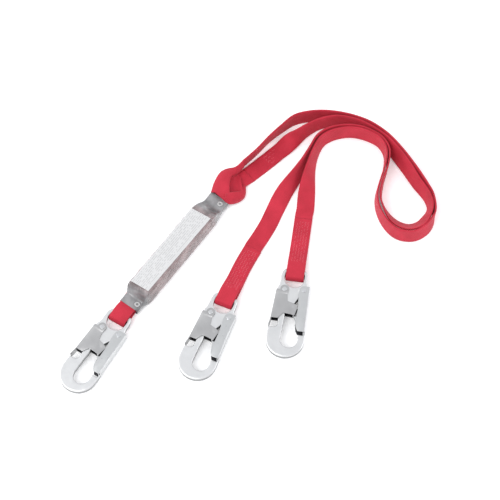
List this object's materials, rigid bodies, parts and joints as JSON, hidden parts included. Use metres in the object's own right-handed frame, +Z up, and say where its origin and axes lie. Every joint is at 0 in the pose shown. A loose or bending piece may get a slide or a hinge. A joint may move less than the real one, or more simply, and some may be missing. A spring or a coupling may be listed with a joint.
{
  "type": "shock absorbing lanyard",
  "caption": "Twin-leg webbing lanyard with a tear-out energy absorber pack and self-closing, double-locking snap hooks on both legs and on the harness end.",
  "frame": {"origin": "on the floor plane under the middle of the bounding box of everything but the two leg webbings", "axes": "+Z up, the lanyard lies flat on Z = 0; +Y away from a viewer at the hooks' side, +X to that viewer's right"},
  "size_m": [0.5167, 0.429, 0.0301],
  "materials": {
    "forged_steel": "zinc-plated forging, satin, softly rounded",
    "gate_steel": "zinc-plated folded sheet, satin",
    "lever_steel": "zinc-plated folded sheet, satin, slightly darker",
    "rivet_steel": "plated, turned heads",
    "spring_wire": "bright drawn wire",
    "clear_sleeve": "clear heat-shrunk film with soft wrinkles",
    "tear_webbing": "folded tear-out webbing, washed-out pink",
    "label_film": "printed film with plain unreadable grey bars",
    "eyelet_metal": "rolled eyelet, satin",
    "red_webbing": "woven polyester webbing, fine ribs along its length",
    "black_webbing": "woven polyester webbing",
    "red_thread": "tone-on-tone sewing thread"
  },
  "bodies": {
    "pack_and_webbing": {"pack_sleeve": "clear_sleeve", "tear_webbing": "tear_webbing", "lower_label": "label_film", "upper_label": "label_film", "lower_eyelet": "eyelet_metal", "upper_eyelet": "eyelet_metal", "harness_loop": "red_webbing", "black_loop": "black_webbing", "choke_knot": "red_webbing", "knot_stitching": "red_thread", "left_leg_webbing": "red_webbing", "right_leg_webbing": "red_webbing", "left_eye_loop": "red_webbing", "right_eye_loop": "red_webbing", "left_stitching": "red_thread", "right_stitching": "red_thread"},
    "harness_hook": {"harness_hook_body": "forged_steel", "harness_gate_rivet": "rivet_steel", "harness_gate_spring": "spring_wire", "harness_lever_rivet": "rivet_steel", "harness_lever_spring": "spring_wire"},
    "harness_gate": {"harness_hook_gate": "gate_steel"},
    "harness_lever": {"harness_lock_lever": "lever_steel"},
    "left_hook": {"left_hook_body": "forged_steel", "left_gate_rivet": "rivet_steel", "left_gate_spring": "spring_wire", "left_lever_rivet": "rivet_steel", "left_lever_spring": "spring_wire"},
    "left_gate": {"left_hook_gate": "gate_steel"},
    "left_lever": {"left_lock_lever": "lever_steel"},
    "right_hook": {"right_hook_body": "forged_steel", "right_gate_rivet": "rivet_steel", "right_gate_spring": "spring_wire", "right_lever_rivet": "rivet_steel", "right_lever_spring": "spring_wire"},
    "right_gate": {"right_hook_gate": "gate_steel"},
    "right_lever": {"right_lock_lever": "lever_steel"}
  },
  "joints": [
    {"name": "harness_hook_swing", "type": "hinge", "parent": "pack_and_webbing", "child": "harness_hook", "pos_m": [-0.09229, -0.05501, 0.009], "axis": [-0.8536, 0.521, 0], "range_deg": [0, 90]},
    {"name": "harness_lever_press", "type": "hinge", "parent": "harness_hook", "child": "harness_lever", "pos_m": [-0.11644, -0.07307, 0.009], "axis": [0, 0, 1], "range_deg": [0, 5], "stiffness_Nm_per_rad": 0.5, "springref_deg": -17.19, "deforming": ["harness_lever_spring"]},
    {"name": "harness_gate_open", "type": "hinge", "parent": "harness_hook", "child": "harness_gate", "pos_m": [-0.09382, -0.08629, 0.009], "axis": [0, 0, -1], "range_deg": [0, 17.6], "stiffness_Nm_per_rad": 0.05, "springref_deg": -28.65, "deforming": ["harness_gate_spring"]},
    {"name": "left_hook_swing", "type": "hinge", "parent": "pack_and_webbing", "child": "left_hook", "pos_m": [0.05119, -0.02926, 0.009], "axis": [-0.9304, 0.3665, 0], "range_deg": [0, 90]},
    {"name": "left_lever_press", "type": "hinge", "parent": "left_hook", "child": "left_lever", "pos_m": [0.03051, -0.05121, 0.009], "axis": [0, 0, 1], "range_deg": [0, 5], "stiffness_Nm_per_rad": 0.5, "springref_deg": -17.19, "deforming": ["left_lever_spring"]},
    {"name": "left_gate_open", "type": "hinge", "parent": "left_hook", "child": "left_gate", "pos_m": [0.05507, -0.06035, 0.009], "axis": [0, 0, -1], "range_deg": [0, 17.6], "stiffness_Nm_per_rad": 0.05, "springref_deg": -28.65, "deforming": ["left_gate_spring"]},
    {"name": "right_hook_swing", "type": "hinge", "parent": "pack_and_webbing", "child": "right_hook", "pos_m": [0.14666, 0.00965, 0.009], "axis": [-0.9899, 0.1418, 0], "range_deg": [0, 90]},
    {"name": "right_lever_press", "type": "hinge", "parent": "right_hook", "child": "right_lever", "pos_m": [0.1316, -0.01648, 0.009], "axis": [0, 0, 1], "range_deg": [0, 5], "stiffness_Nm_per_rad": 0.5, "springref_deg": -17.19, "deforming": ["right_lever_spring"]},
    {"name": "right_gate_open", "type": "hinge", "parent": "right_hook", "child": "right_gate", "pos_m": [0.15761, -0.0197, 0.009], "axis": [0, 0, -1], "range_deg": [0, 17.6], "stiffness_Nm_per_rad": 0.05, "springref_deg": -28.65, "deforming": ["right_gate_spring"]}
  ],
  "couplings": [
    {"joint": "harness_gate_open", "follows": "harness_lever_press", "ratio": 3.5},
    {"joint": "left_gate_open", "follows": "left_lever_press", "ratio": 3.5},
    {"joint": "right_gate_open", "follows": "right_lever_press", "ratio": 3.5}
  ]
}
